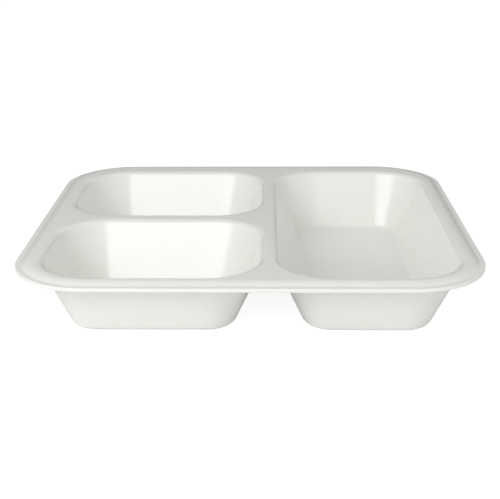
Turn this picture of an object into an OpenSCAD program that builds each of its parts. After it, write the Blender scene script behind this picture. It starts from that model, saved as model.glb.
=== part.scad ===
// Meal tray moulded in one piece from thin foam sheet. A flat deck carries three tapered wells:
// two on the left, one behind the other, and a long one on the right. Round the deck the sheet
// rolls down to a narrow flat lip.
// The tray stands on the undersides of its wells at height 0. The origin is under the middle of
// the outline, +X runs to the right and +Y to the back.

/* [Outline] */
// Width over the lip, left to right
tray_w = 240; // [215:1:280]
// Depth over the lip, front to back
tray_d = 219; // [200:1:260]
// Height from the undersides of the wells to the top of the deck
tray_h = 35.8; // [20:0.1:45]
// Radius of the outline's corners in plan
corner_r = 40.5; // [36:0.5:46]
// Thickness of the foam sheet
foam_t = 2; // [1:0.1:2.6]

/* [Rim] */
// Width of the flat lip
lip_w = 3; // [1:0.1:5]
// Width of the roll that joins lip and deck
roll_w = 5.2; // [4:0.1:7]
// Height of the deck above the lip
roll_h = 1.4; // [0.5:0.1:2]

/* [Deck] */
// Flat deck to the left of the left wells
left_flat = 2.5; // [0.5:0.1:10]
// Flat deck to the right of the right well
right_flat = 0.8; // [0.5:0.1:10]
// Flat deck in front of the wells
front_flat = 0.6; // [0.5:0.1:10]
// Flat deck behind the wells
back_flat = 9; // [0.5:0.1:14]
// Flat top of the ridge between the left wells and the right one
long_flat = 2.3; // [0.5:0.1:8]
// Flat top of the ridge between the two left wells
cross_flat = 4.5; // [0.5:0.1:8]
// Deck between a well's corner and the roll, where both corners share a centre
corner_flat = 1.2; // [1:0.1:2]

/* [Wells] */
// Width of the right well, between its walls at deck height
right_well_w = 93.6; // [75:0.1:105]
// Depth of the front left well, between its walls at deck height
front_well_d = 87.4; // [75:0.1:95]
// Lean of the walls away from upright, in degrees
draft = 25; // [10:0.5:28]
// Radius over which the deck turns down into a wall
brim_r = 4.4; // [3:0.1:5]
// Radius between wall and floor, inside the well
floor_r = 3.5; // [1:0.1:5]

/* [Hidden] */
$fn = 96;
foam_white = [0.95, 0.955, 0.935];
// Largest step of an arc, in degrees
arc_step = 11;
// How far a well's hollow reaches above the deck
past = 1;

// Roll: one arc that starts level at the deck and meets the lip at roll_angle
roll_angle = 2 * atan(roll_h / roll_w);
roll_r = roll_w / sin(roll_angle);
lip_top = tray_h - roll_h;
deck_inset = lip_w + roll_w;

// Wall: it leans by draft, so the sheet turns through the rest of a right angle at each end
wall_turn = 90 - draft;
brim_reach = to_micron(brim_r * tan(wall_turn / 2));
floor_inset = to_micron((tray_h - foam_t) * tan(draft) + floor_r * tan(wall_turn / 2));

// Wells: the left ones take what the rims, the ridges and the other wells leave
rim = deck_inset + brim_reach;
well_r = corner_r - rim - corner_flat;
long_ridge = long_flat + 2 * brim_reach;
cross_ridge = cross_flat + 2 * brim_reach;
left_well_w = tray_w - 2 * rim - left_flat - right_flat - long_ridge - right_well_w;
right_well_d = tray_d - 2 * rim - front_flat - back_flat;
back_well_d = right_well_d - cross_ridge - front_well_d;
left_x = -tray_w / 2 + rim + left_flat;
right_x = tray_w / 2 - rim - right_flat - right_well_w;
front_y = -tray_d / 2 + rim + front_flat;
back_y = tray_d / 2 - rim - back_flat - back_well_d;

// Each well: the middle and the size of its mouth, where walls and deck would meet
WELLS = [
    [[left_x + left_well_w / 2, front_y + front_well_d / 2], [left_well_w, front_well_d]],
    [[left_x + left_well_w / 2, back_y + back_well_d / 2], [left_well_w, back_well_d]],
    [[right_x + right_well_w / 2, front_y + right_well_d / 2], [right_well_w, right_well_d]]
];

// A length worked out from an angle, kept to a micron, so that all that meets there meets exactly
function to_micron(length) = round(1000 * length) / 1000;

// Points of an arc, ends included. It goes through the point at where it runs level, which is its
// highest or its lowest one: 90 or 270 degrees.
function arc(point, level, r, from, to) =
    let (steps = ceil(abs(to - from) / arc_step))
    [
        for (k = [0:steps])
            let (angle = from * (1 - k / steps) + to * k / steps)
            point + r * [cos(angle) - cos(level), sin(angle) - sin(level)]
    ];

// Section of lip, roll and deck as inset from the outline against height, up to the middle of a
// corner
function rim_section() =
    let (over = [deck_inset, tray_h], under = [deck_inset, tray_h - foam_t])
    concat(
        [[0, lip_top - foam_t], [0, lip_top]],
        arc(over, 90, roll_r, 90 + roll_angle, 90),
        [[corner_r, tray_h], [corner_r, tray_h - foam_t]],
        arc(under, 90, roll_r - foam_t, 90, 90 + roll_angle),
        [[lip_w + foam_t * tan(roll_angle / 2), lip_top - foam_t]]
    );

// Section of a well as a solid that ends at the height top, as inset from the mouth. Its side is the
// sheet's upper face where t is 0, and the sheet's lower face where t is the foam's thickness.
function well_section(t, top) =
    concat(
        [[well_r, top], [-brim_reach, top]],
        arc([-brim_reach, tray_h - t], 90, brim_r - t, 90, draft),
        arc([floor_inset, foam_t - t], 270, floor_r + t, 270 - wall_turn, 270),
        [[well_r, foam_t - t]]
    );

// Carries a section round a rectangle with round corners, and closes the middle between the two
// heights at which the section ends
module round_solid(section, size, r, low, high) {
    points = [for (p = section) [r - p.x, p.y]];
    middle = size / 2 - [r, r];
    for (turn = [0:3]) {
        half = turn % 2 == 0 ? middle : [middle.y, middle.x];
        rotate([0, 0, 90 * turn]) translate([half.x, half.y, 0]) {
            rotate_extrude(angle = 90) polygon(points);
            rotate([90, 0, 0]) linear_extrude(2 * half.y) polygon(points);
        }
    }
    rotate([90, 0, 0]) linear_extrude(2 * middle.y, center = true)
        polygon([[-middle.x, low], [-middle.x, high], [middle.x, high], [middle.x, low]]);
}

module sheet() {
    round_solid(rim_section(), [tray_w, tray_d], corner_r, tray_h - foam_t, tray_h);
}

// A well's outer side, up to the middle of the deck's thickness
module well(size) {
    top = tray_h - foam_t / 2;
    round_solid(well_section(foam_t, top), size, well_r, 0, top);
}

// The hollow of a well, cut out of it and out of the deck
module hollow(size) {
    top = tray_h + past;
    round_solid(well_section(0, top), size, well_r, foam_t, top);
}

module tray() {
    color(foam_white) difference() {
        union() {
            sheet();
            for (w = WELLS)
                translate(w[0]) well(w[1]);
        }
        for (w = WELLS)
            translate(w[0]) hollow(w[1]);
    }
}

tray();
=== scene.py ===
# %% [markdown]
# # A foam food tray
# The real tray is one sheet of white polystyrene foam, 2 mm thick. The sheet is heated, drawn
# into a mould in one stroke and then punched out, so deck, wells and rim are one skin of even
# thickness. The lesson does the same: it shapes the upper face of the sheet, and gives it its
# thickness only at the end.
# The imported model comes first, because it fixes the place and the size of everything.

# %% Load the frame
import math

import bpy
import bmesh
from mathutils import Matrix, Vector


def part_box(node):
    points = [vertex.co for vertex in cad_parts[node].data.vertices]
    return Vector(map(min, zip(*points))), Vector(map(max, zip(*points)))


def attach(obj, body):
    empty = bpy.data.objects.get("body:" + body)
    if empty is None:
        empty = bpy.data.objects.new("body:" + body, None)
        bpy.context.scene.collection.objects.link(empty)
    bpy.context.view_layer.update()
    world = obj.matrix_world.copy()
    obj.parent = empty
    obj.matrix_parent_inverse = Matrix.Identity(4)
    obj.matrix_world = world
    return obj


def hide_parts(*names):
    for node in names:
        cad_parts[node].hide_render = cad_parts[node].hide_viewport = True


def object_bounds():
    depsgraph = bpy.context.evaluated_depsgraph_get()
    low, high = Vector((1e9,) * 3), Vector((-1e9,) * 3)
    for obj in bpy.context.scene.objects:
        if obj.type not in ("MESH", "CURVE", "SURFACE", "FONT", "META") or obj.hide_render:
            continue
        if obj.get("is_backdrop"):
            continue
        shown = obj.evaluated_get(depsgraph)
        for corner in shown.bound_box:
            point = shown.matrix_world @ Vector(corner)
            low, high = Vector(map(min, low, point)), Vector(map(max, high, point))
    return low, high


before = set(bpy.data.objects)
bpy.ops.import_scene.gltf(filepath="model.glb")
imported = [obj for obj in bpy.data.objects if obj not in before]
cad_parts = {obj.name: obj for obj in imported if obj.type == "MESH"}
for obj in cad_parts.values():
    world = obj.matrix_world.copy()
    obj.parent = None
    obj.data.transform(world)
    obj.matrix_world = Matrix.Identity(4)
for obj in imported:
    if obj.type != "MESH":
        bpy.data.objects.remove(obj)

bounds_at_load = [list(corner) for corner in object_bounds()]
tray_low, tray_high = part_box("tray")
size_in_mm = [round(1000 * side, 2) for side in tray_high - tray_low]
print("frame: nodes", sorted(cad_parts), "size in mm", size_in_mm)


# %% [markdown]
# # Sizes
# Sizes are named once, in metres. Lip, roll, flats and wells are those that the tray was designed
# with, and the width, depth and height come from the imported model, so the skin lands on it.
# A wall leans by 25 degrees so that trays nest and leave the mould, so at its top and foot the
# sheet turns through the remaining 65 degrees. The reach of such a turn is its radius times the
# tangent of half the angle.

# %% Sizes of the tray
MM = 0.001
TRAY_W, TRAY_D, TRAY_H = tray_high - tray_low
CORNER_R = 40.5 * MM
FOAM = 2 * MM
LIP_W, ROLL_W, ROLL_H = 3 * MM, 5.2 * MM, 1.4 * MM
LEFT_FLAT, RIGHT_FLAT, FRONT_FLAT, BACK_FLAT = 2.5 * MM, 0.8 * MM, 0.6 * MM, 9 * MM
LONG_FLAT, CROSS_FLAT, CORNER_FLAT = 2.3 * MM, 4.5 * MM, 1.2 * MM
RIGHT_WELL_W, FRONT_WELL_D = 93.6 * MM, 87.4 * MM
DRAFT = math.radians(25)
BRIM_R, FOOT_R = 4.4 * MM, 3.5 * MM
BEND_LEAN, CREASE = math.radians(35), 0.5 * MM

WALL_TURN = math.pi / 2 - DRAFT
ROLL_TURN = 2 * math.atan(ROLL_H / ROLL_W)
ROLL_R = ROLL_W / math.sin(ROLL_TURN)
BRIM_REACH = BRIM_R * math.tan(WALL_TURN / 2)
FOOT_REACH = FOOT_R * math.tan(WALL_TURN / 2)
RIM = LIP_W + ROLL_W + BRIM_REACH
WELL_R = CORNER_R - RIM - CORNER_FLAT
print(f"sizes: rim {RIM / MM:.2f} mm, well corners {WELL_R / MM:.2f} mm")
print(f"sizes: the roll turns {math.degrees(ROLL_TURN):.1f} degrees")

# %% Mouths of the wells
well_left = -TRAY_W / 2 + RIM + LEFT_FLAT
right_end = TRAY_W / 2 - RIM - RIGHT_FLAT
well_front = -TRAY_D / 2 + RIM + FRONT_FLAT
well_back = TRAY_D / 2 - RIM - BACK_FLAT
left_end = right_end - RIGHT_WELL_W - LONG_FLAT - 2 * BRIM_REACH
front_end = well_front + FRONT_WELL_D
WELLS = {
    "front_left": (well_left, left_end, well_front, front_end),
    "back_left": (well_left, left_end, front_end + CROSS_FLAT + 2 * BRIM_REACH, well_back),
    "right": (right_end - RIGHT_WELL_W, right_end, well_front, well_back),
}
for name, (x0, x1, y0, y1) in WELLS.items():
    print(f"well {name}: {(x1 - x0) / MM:.1f} by {(y1 - y0) / MM:.1f} mm at the mouth")


# %% [markdown]
# # One outline, one tool
# Lip, brims and floors are all the same figure: a rectangle with round corners. In Blender it is
# a plane whose four corners are bevelled, and every further line of the tray is an inset of it.
# An inset with a depth makes one step of a slope, and many small ones make an arc. Insets keep
# each corner's centre, so a well gets narrower corners as it gets deeper, as the real one has.

# %% Helpers for the sheet
CORNER_STEPS = 20


def deselect_all():
    if bpy.context.object and bpy.context.object.mode != "OBJECT":
        bpy.ops.object.mode_set(mode="OBJECT")
    bpy.ops.object.select_all(action="DESELECT")


def round_rectangle(name, x0, x1, y0, y1, height, radius):
    """A flat face with round corners, in edit mode and selected."""
    deselect_all()
    bpy.ops.mesh.primitive_plane_add(size=1, location=(0, 0, 0))
    piece = bpy.context.object
    piece.name = name
    bpy.ops.object.mode_set(mode="EDIT")
    bpy.ops.mesh.select_all(action="SELECT")
    bpy.ops.transform.resize(value=(x1 - x0, y1 - y0, 1))
    bpy.ops.transform.translate(value=((x0 + x1) / 2, (y0 + y1) / 2, height))
    bpy.ops.mesh.bevel(
        offset=radius, offset_type="OFFSET", affect="VERTICES", segments=CORNER_STEPS,
        clamp_overlap=False,
    )
    bpy.ops.mesh.select_all(action="SELECT")
    return piece


def step_in(inward, up):
    """One ring inside the selected face: the face shrinks by inward and rises by up."""
    bpy.ops.mesh.inset(thickness=inward, depth=up, use_boundary=True, use_even_offset=True)


def slope_in(length, lean, steps):
    """A straight slope of rings, leaning down from level by the angle lean."""
    for _ in range(steps):
        step_in(length * math.cos(lean) / steps, -length * math.sin(lean) / steps)


def turn_in(radius, lean_from, lean_to, steps):
    """An arc of rings. The lean is the slope's angle below level, at the start and at the end."""
    def place(lean):
        return radius * math.sin(lean), radius * math.cos(lean)

    sign = 1 if lean_to > lean_from else -1
    for step in range(steps):
        a = place(lean_from + (lean_to - lean_from) * step / steps)
        b = place(lean_from + (lean_to - lean_from) * (step + 1) / steps)
        step_in(sign * (b[0] - a[0]), sign * (b[1] - a[1]))


print(f"helpers: a corner has {CORNER_STEPS} steps")

# %% [markdown]
# # Rim: lip and roll
# Round the deck the foam rolls down to a flat lip 3 mm wide, which stiffens the edge and gives
# the punch something flat to cut. From outside in, that is one flat step and an arc that starts
# at the slope of the roll and ends level with the deck. The middle is then deleted, because the
# deck is closed later, between this ring and the wells.

# %% Make the rim
LIP_STEPS, ROLL_STEPS = 3, 9

rim = round_rectangle(
    "rim", -TRAY_W / 2, TRAY_W / 2, -TRAY_D / 2, TRAY_D / 2, TRAY_H - ROLL_H, CORNER_R
)
for _ in range(LIP_STEPS):
    step_in(LIP_W / LIP_STEPS, 0)
turn_in(ROLL_R, -ROLL_TURN, 0, ROLL_STEPS)
bpy.ops.mesh.delete(type="FACE")
bpy.ops.object.mode_set(mode="OBJECT")
rim_heights = [v.co.z for v in rim.data.vertices]
print(f"rim: lip at {min(rim_heights) / MM:.2f} mm, deck at {max(rim_heights) / MM:.2f} mm")
print(f"rim: {len(rim.data.polygons)} faces")


# %% [markdown]
# # Wells
# A well is drawn down from the deck: over the brim, down the leaning wall, and round the foot to
# the floor. Seen closely, the brim isn't one even arc. From the deck it bends softly to 35
# degrees and there meets the wall in a crease, which is the crisp line round the inside of each
# well. The bend starts where an even arc would, so the deck keeps its shape, and the crease lies
# about a millimetre below the mouth, the line where deck and wall would meet. A ring close to the
# crease keeps it narrow under smooth shading. The three wells differ only in their mouths, so one
# function makes them all.

# %% Shape of the brim and the wall
BEND_STEPS, WALL_STEPS, FOOT_STEPS = 9, 6, 14

crease_span = math.sin(WALL_TURN - BEND_LEAN) + math.sin(WALL_TURN)
CREASE_FALL = BRIM_REACH * math.sin(BEND_LEAN) / crease_span
BEND_R = CREASE_FALL * math.sin(WALL_TURN) / math.sin(BEND_LEAN) / math.tan(BEND_LEAN / 2)
WALL = (TRAY_H - FOAM) / math.sin(WALL_TURN) - CREASE_FALL - FOOT_REACH
print(f"brim: radius {BEND_R / MM:.2f} mm, crease {CREASE_FALL / MM:.2f} mm down the wall")


# %% Make the wells
def make_well(name, x0, x1, y0, y1):
    """A well, drawn from its mouth: brim, crease, wall and foot."""
    well = round_rectangle(
        name, x0 - BRIM_REACH, x1 + BRIM_REACH, y0 - BRIM_REACH, y1 + BRIM_REACH, TRAY_H,
        WELL_R + BRIM_REACH,
    )
    turn_in(BEND_R, 0, BEND_LEAN, BEND_STEPS)
    slope_in(CREASE, WALL_TURN, 1)
    slope_in(WALL - CREASE, WALL_TURN, WALL_STEPS)
    turn_in(FOOT_R, WALL_TURN, 0, FOOT_STEPS)
    bpy.ops.object.mode_set(mode="OBJECT")
    heights = [v.co.z for v in well.data.vertices]
    print(f"well {name}: floor at {min(heights) / MM:.3f} mm, mouth at {max(heights) / MM:.2f} mm")
    return well


wells = [make_well(name, *mouth) for name, mouth in WELLS.items()]


# %% [markdown]
# # Deck
# The deck is what is left between the rim and the three mouths: flat, but with a shape that no
# primitive has. Filling between edge loops gives it in one go. Rim and wells are joined first,
# and only the open edges at deck height are selected for the fill.

# %% Close the deck
LEVEL_ERROR = 0.01 * MM

deselect_all()
for part in (rim, *wells):
    part.select_set(True)
bpy.context.view_layer.objects.active = rim
bpy.ops.object.join()
tray = bpy.context.object
tray.name = tray.data.name = "foam_tray"
bpy.ops.object.mode_set(mode="EDIT")
bpy.ops.mesh.select_mode(type="EDGE")
bpy.ops.mesh.select_all(action="DESELECT")
sheet = bmesh.from_edit_mesh(tray.data)
deck_edges = [
    edge for edge in sheet.edges
    if edge.is_boundary and all(abs(v.co.z - TRAY_H) < LEVEL_ERROR for v in edge.verts)
]
for edge in deck_edges:
    edge.select_set(True)
bmesh.update_edit_mesh(tray.data)
bpy.ops.mesh.fill(use_beauty=True)
bpy.ops.mesh.select_all(action="SELECT")
bpy.ops.mesh.normals_make_consistent(inside=False)
bpy.ops.object.mode_set(mode="OBJECT")
upward = sum(p.normal.z * p.area for p in tray.data.polygons)
if upward < 0:
    tray.data.flip_normals()
print(f"deck: {len(deck_edges)} edges filled, level area {abs(upward) * 1e4:.0f} square cm")
print(f"deck: the sheet has {len(tray.data.polygons)} faces")


# %% [markdown]
# # Thickness and cut edge
# Solidify gives the sheet its 2 mm, downwards, so the upper face stays where the mould put it. Even
# thickness keeps the walls as thick as the floor. The punch leaves the only sharp edges that the
# tray has, all round the lip, and presses them a little round: a bevel that takes only edges
# sharper than 60 degrees finds exactly those. The cut shows open foam instead of skin, so it gets
# a second material slot.

# %% Give the sheet its thickness
SKIN, CUT = 0, 1
CUT_ROUND, CUT_STEPS, CUT_ANGLE = 0.3 * MM, 3, math.radians(60)


def apply_modifier(piece, kind, **settings):
    deselect_all()
    piece.select_set(True)
    bpy.context.view_layer.objects.active = piece
    modifier = piece.modifiers.new(kind.title(), kind)
    for setting, value in settings.items():
        setattr(modifier, setting, value)
    bpy.ops.object.modifier_apply(modifier=modifier.name)


for slot_number in (SKIN, CUT):
    tray.data.materials.append(None)
apply_modifier(
    tray, "SOLIDIFY", thickness=FOAM, offset=-1, use_even_offset=True, use_quality_normals=True,
    material_offset_rim=CUT,
)
apply_modifier(
    tray, "BEVEL", width=CUT_ROUND, segments=CUT_STEPS, limit_method="ANGLE",
    angle_limit=CUT_ANGLE, use_clamp_overlap=False,
)
cut_faces = sum(p.material_index == CUT for p in tray.data.polygons)
solid = bmesh.new()
solid.from_mesh(tray.data)
open_edges = sum(not edge.is_manifold for edge in solid.edges)
volume = solid.calc_volume()
solid.free()
print(f"foam: {volume * 1e6:.1f} cubic cm, {cut_faces} faces on the cut, {open_edges} open edges")

# %% Smooth the skin
SMOOTH_ANGLE = math.radians(50)

deselect_all()
tray.select_set(True)
bpy.context.view_layer.objects.active = tray
bpy.ops.object.shade_smooth_by_angle(angle=SMOOTH_ANGLE)
triangles = sum(len(p.vertices) - 2 for p in tray.data.polygons)
print(f"foam tray: {triangles} triangles")


# %% [markdown]
# # Colours and nodes
# Colours are written as on a colour card, in sRGB hex, and the shader wants them linear. A
# material is a tree of nodes, and one small helper adds a node, sets it and links it.

# %% Helpers for materials
def card(code):
    """An sRGB hex colour as the linear colour that a shader takes."""
    parts = [int(code[i:i + 2], 16) / 255 for i in (1, 3, 5)]
    return (*[c / 12.92 if c <= 0.04045 else ((c + 0.055) / 1.055) ** 2.4 for c in parts], 1)


def grey(level):
    """A linear grey."""
    return (level, level, level, 1)


def add(tree, kind, inputs=(), **settings):
    """Adds a node with its settings. An input takes a value, or a socket to be linked from."""
    node = tree.nodes.new(kind)
    for setting, value in settings.items():
        setattr(node, setting, value)
    for socket, value in dict(inputs).items():
        if isinstance(value, bpy.types.NodeSocket):
            tree.links.new(value, node.inputs[socket])
        else:
            node.inputs[socket].default_value = value
    return node


def new_tree(owner):
    owner.use_nodes = True
    owner.node_tree.nodes.clear()
    return owner.node_tree


print("colour card: white foam is", [round(c, 3) for c in card("#f7f8f3")[:3]], "in linear light")

# %% [markdown]
# # Foam skin
# Polystyrene foam is extruded as sheet, and the heated sheet is pressed against the mould, which
# melts its face to a closed, satin skin over fine cells. The skin is glossy enough to show where a
# lamp begins and ends, with hardly any colour, a faint mottle where cells were stretched, and
# shallow waves from the draw. Its index is that of solid polystyrene, 1.59. Real cells are 0.2 to
# 0.4 mm wide, which is less than a pixel here, so they are drawn 0.9 mm wide. A sheet of 2 mm also
# lets some light through, which subsurface scattering gives.
# Both ends of the roughness stay under 0.27. There the denoiser begins to treat a surface as matt,
# and a range across it leaves patches with hard edges.

# %% Material: polystyrene foam, moulded skin
CELL = 0.9 * MM
MOTTLE = 9 * MM
WAVE = 22 * MM
CELL_DEPTH, WAVE_DEPTH = 0.05 * MM, 0.25 * MM
SKIN_SMOOTHEST, SKIN_ROUGHEST = 0.21, 0.26
POLYSTYRENE_IOR = 1.59

skin = bpy.data.materials.new("polystyrene_foam_moulded_skin")
tree = new_tree(skin)
at = add(tree, "ShaderNodeTexCoord").outputs["Object"]
cells = add(
    tree, "ShaderNodeTexVoronoi", {"Vector": at, "Scale": 1 / CELL, "Randomness": 1},
    feature="SMOOTH_F1",
)
mottle = add(
    tree, "ShaderNodeTexNoise",
    {"Vector": at, "Scale": 1 / MOTTLE, "Detail": 2, "Roughness": 0.5},
).outputs["Fac"]
waves = add(
    tree, "ShaderNodeTexNoise",
    {"Vector": at, "Scale": 1 / WAVE, "Detail": 1, "Roughness": 0.4},
).outputs["Fac"]
tint = add(
    tree, "ShaderNodeMix", {"Factor": mottle, "A": card("#f3f5ee"), "B": card("#f7f8f3")},
    data_type="RGBA",
)
sheen = add(
    tree, "ShaderNodeMapRange",
    {"Value": mottle, "To Min": SKIN_SMOOTHEST, "To Max": SKIN_ROUGHEST},
)
wave_bump = add(
    tree, "ShaderNodeBump", {"Strength": 0.1, "Distance": WAVE_DEPTH, "Height": waves}
)
cell_bump = add(
    tree, "ShaderNodeBump",
    {
        "Strength": 0.15, "Distance": CELL_DEPTH, "Height": cells.outputs["Distance"],
        "Normal": wave_bump.outputs["Normal"],
    },
)
foam = add(
    tree, "ShaderNodeBsdfPrincipled",
    {
        "Base Color": tint.outputs["Result"], "Roughness": sheen.outputs["Result"],
        "IOR": POLYSTYRENE_IOR, "Subsurface Weight": 0.3, "Subsurface Scale": 2.5 * MM,
        "Subsurface Radius": (1, 0.98, 0.92), "Normal": cell_bump.outputs["Normal"],
    },
)
add(tree, "ShaderNodeOutputMaterial", {"Surface": foam.outputs["BSDF"]})
tray.data.materials[SKIN] = skin
print(f"skin: {len(tree.nodes)} nodes, cells {CELL / MM:.1f} mm, mottle {MOTTLE / MM:.0f} mm")

# %% [markdown]
# # Cut foam
# Round the lip the punch goes through skin and cells. There the foam is rougher and scatters
# more, so it looks dull and a little brighter than the skin.

# %% Material: polystyrene foam, punched edge
CUT_DEPTH = 0.15 * MM

punched = bpy.data.materials.new("polystyrene_foam_punched_edge")
tree = new_tree(punched)
at = add(tree, "ShaderNodeTexCoord").outputs["Object"]
cells = add(
    tree, "ShaderNodeTexVoronoi", {"Vector": at, "Scale": 1 / CELL, "Randomness": 1}, feature="F1"
)
cell_bump = add(
    tree, "ShaderNodeBump",
    {"Strength": 0.5, "Distance": CUT_DEPTH, "Height": cells.outputs["Distance"]},
)
foam = add(
    tree, "ShaderNodeBsdfPrincipled",
    {
        "Base Color": card("#f6f6f1"), "Roughness": 0.75, "IOR": 1.4,
        "Subsurface Weight": 0.2, "Subsurface Scale": 1.5 * MM,
        "Subsurface Radius": (1, 0.95, 0.85), "Normal": cell_bump.outputs["Normal"],
    },
)
add(tree, "ShaderNodeOutputMaterial", {"Surface": foam.outputs["BSDF"]})
tray.data.materials[CUT] = punched
print(f"punched edge: {len(tree.nodes)} nodes, pits {CUT_DEPTH / MM:.2f} mm deep")

# %% Hand the piece over
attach(tray, "root")
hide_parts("tray")
print("foam tray: rides on root, stands for the node tray")


# %% [markdown]
# # Camera
# The photograph was taken from in front, about 20 degrees above level, with a long lens. The
# numbers come from fitting one camera to the tray's edges: the picture is 500 by 499 pixels, its
# focal length 982.8 pixels, and its middle lies at 234.9 across and 249.3 down. The point that the
# camera aims at, and its distance, were fitted as shares of the tray's width.

# %% Set up the camera
PICTURE_W, PICTURE_H, SENSOR_W = 500, 499, 36
FOCAL, MIDDLE_X, MIDDLE_Y = 982.777, 234.939, 249.279
YAW, PITCH, ROLL = -0.03322, 0.35213, 0.01042
AIM_RIGHT, AIM_UNDER_LIP, AWAY = -0.03883, 0.08407, 2.40376
TARGET = Vector((AIM_RIGHT * TRAY_W, 0, TRAY_H - ROLL_H - AIM_UNDER_LIP * TRAY_W))
DISTANCE = AWAY * TRAY_W

ahead = Vector((
    math.sin(YAW) * math.cos(PITCH), math.cos(YAW) * math.cos(PITCH), -math.sin(PITCH)
))
level = Vector((math.cos(YAW), -math.sin(YAW), 0))
upright = ahead.cross(level)
across = math.cos(ROLL) * level + math.sin(ROLL) * upright
down = math.cos(ROLL) * upright - math.sin(ROLL) * level
turned = Matrix((across, -down, -ahead)).transposed().to_4x4()
camera = bpy.data.objects.new("camera", bpy.data.cameras.new("camera"))
bpy.context.scene.collection.objects.link(camera)
camera.matrix_world = Matrix.Translation(TARGET - DISTANCE * ahead) @ turned
camera.data.sensor_fit = "HORIZONTAL"
camera.data.sensor_width = SENSOR_W
camera.data.lens = FOCAL / PICTURE_W * SENSOR_W
camera.data.shift_x = (PICTURE_W / 2 - MIDDLE_X) / PICTURE_W
camera.data.shift_y = (MIDDLE_Y - PICTURE_H / 2) / PICTURE_W
bpy.context.scene.camera = camera
camera_in_mm = [round(c / MM) for c in camera.location]
print("camera at", camera_in_mm, f"mm, lens {camera.data.lens:.1f} mm")


# %% [markdown]
# # Floor, room and light
# A white thing on white shows only by its shading, so the light has a clear side. One soft panel
# stands in front and to the left, 32 degrees up. The room round it is brightest low down in front,
# paler overhead and dimmest behind, so the deck stays a shade darker than the walls that face the
# viewer. In the gloss, the room ends behind in a grey backdrop with a dark foot: the level deck
# mirrors the backdrop, and whatever leans away mirrors the foot, which draws the dark lines along
# brims and rim. The camera alone sees plain white behind the tray. The floor adds its own white
# to the camera, so that it stays white and the shadow on it stays faint.

# %% Floor
FLOOR_R, FLOOR_GAP = 4, 0.1 * MM
PAPER, PAPER_SEEN, PAPER_GLOW = 0.93, 0.3, 0.9

deselect_all()
bpy.ops.mesh.primitive_circle_add(
    vertices=64, radius=FLOOR_R, fill_type="NGON", location=(0, 0, -FLOOR_GAP)
)
floor = bpy.context.object
floor.name = "floor"
paper = bpy.data.materials.new("white_paper")
tree = new_tree(paper)
ray = add(tree, "ShaderNodeLightPath").outputs
matt = add(tree, "ShaderNodeBsdfDiffuse", {"Color": grey(PAPER)})
faint = add(tree, "ShaderNodeBsdfDiffuse", {"Color": grey(PAPER_SEEN)})
glow = add(tree, "ShaderNodeEmission", {"Color": grey(1), "Strength": PAPER_GLOW})
seen = add(tree, "ShaderNodeAddShader", {0: faint.outputs[0], 1: glow.outputs[0]})
both = add(
    tree, "ShaderNodeMixShader", {0: ray["Is Camera Ray"], 1: matt.outputs[0], 2: seen.outputs[0]}
)
add(tree, "ShaderNodeOutputMaterial", {"Surface": both.outputs[0]})
floor.data.materials.append(paper)
floor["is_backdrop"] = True
print(f"floor: {FLOOR_R} m round the tray, {FLOOR_GAP / MM:.1f} mm under it")

# %% [markdown]
# # Where the room gets brighter
# The world is coloured by direction. Its limits are heights, and for the front a distance, on a
# ball of radius 1 round the tray: 0 is the horizon and 1 straight up, and -1 straight in front.

# %% Room and backdrop
ROOM, ROOM_TOP, ROOM_FRONT = 0.38, 0.58, 0.8
BACKDROP, BACKDROP_FOOT = 0.4, 0.04
FRONT_BEGINS, FRONT_FULL = 0.25, -0.25
LOW_BEGINS, LOW_FULL = 0.5, 0.25
TOP_BEGINS, TOP_FULL = 0.3, 0.8
FOOT_ENDS, BACKDROP_BEGINS = 0.1, 0.33


def ramp(tree, value, start, end, low, high, interpolation="SMOOTHSTEP"):
    """Goes from low to high while the value goes from start to end."""
    span = {"Value": value, "From Min": start, "From Max": end, "To Min": low, "To Max": high}
    node = add(tree, "ShaderNodeMapRange", span, interpolation_type=interpolation)
    return node.outputs["Result"]


def mix(tree, share, a, b):
    """Goes from a to b while the share goes from 0 to 1."""
    return add(tree, "ShaderNodeMix", {"Factor": share, "A": a, "B": b}).outputs["Result"]


def combine(tree, operation, a, b):
    return add(tree, "ShaderNodeMath", {0: a, 1: b}, operation=operation).outputs[0]


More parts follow.
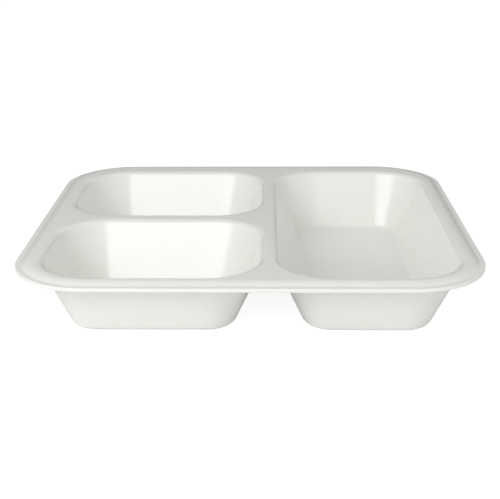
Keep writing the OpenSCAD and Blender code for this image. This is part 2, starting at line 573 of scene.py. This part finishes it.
world = bpy.data.worlds.new("studio")
bpy.context.scene.world = world
tree = new_tree(world)
ray = add(tree, "ShaderNodeLightPath").outputs
direction = add(tree, "ShaderNodeTexCoord").outputs["Generated"]
toward = add(tree, "ShaderNodeSeparateXYZ", {"Vector": direction}).outputs
front = ramp(tree, toward["Y"], FRONT_BEGINS, FRONT_FULL, 0, 1)
low = ramp(tree, toward["Z"], LOW_BEGINS, LOW_FULL, 0, 1)
low_front = combine(tree, "MULTIPLY", front, low)
overhead = ramp(tree, toward["Z"], TOP_BEGINS, TOP_FULL, ROOM, ROOM_TOP, "LINEAR")
room = mix(tree, low_front, overhead, ROOM_FRONT)
backdrop = ramp(tree, toward["Z"], FOOT_ENDS, BACKDROP_BEGINS, BACKDROP_FOOT, BACKDROP)
mirrored = mix(tree, front, backdrop, room)
lit = mix(tree, ray["Is Glossy Ray"], room, mirrored)
is_seen = combine(tree, "MAXIMUM", ray["Is Camera Ray"], ray["Is Transmission Ray"])
white = add(
    tree, "ShaderNodeBackground", {"Color": grey(1), "Strength": mix(tree, is_seen, lit, 1.0)}
)
add(tree, "ShaderNodeOutputWorld", {"Surface": white.outputs[0]})
print(f"room: {ROOM} behind, {ROOM_TOP} overhead, {ROOM_FRONT} low in front")


# %% Key light
def soft_panel(name, azimuth, elevation, distance, width, height, watts):
    """A panel aimed at the tray. The azimuth is its angle from straight in front, to the right."""
    turn, rise = math.radians(azimuth), math.radians(elevation)
    away = Vector((
        math.sin(turn) * math.cos(rise), -math.cos(turn) * math.cos(rise), math.sin(rise)
    ))
    panel = bpy.data.objects.new(name, bpy.data.lights.new(name, "AREA"))
    bpy.context.scene.collection.objects.link(panel)
    panel.data.shape = "RECTANGLE"
    panel.data.size, panel.data.size_y, panel.data.energy = width, height, watts
    panel.location = away * distance + Vector((0, 0, TRAY_H))
    panel.rotation_euler = (-away).to_track_quat("-Z", "Y").to_euler()
    print(f"{name}: {width} by {height} m, {watts} W, {distance} m from the tray")


soft_panel(
    "key_panel", azimuth=-25, elevation=32, distance=1.0, width=0.9, height=0.36, watts=4.05
)
bpy.context.scene.view_settings.view_transform = "Standard"

# %% [markdown]
# # Last look
# The skin has to end where the imported model ends, so both boxes are written down and compared.

# %% Compare the boxes
bounds_at_end = [list(corner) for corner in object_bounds()]
corners = zip(bounds_at_load, bounds_at_end)
worst = max(abs(a - b) for loaded, ended in corners for a, b in zip(loaded, ended))
print(f"boxes differ by at most {worst / MM:.2f} mm")
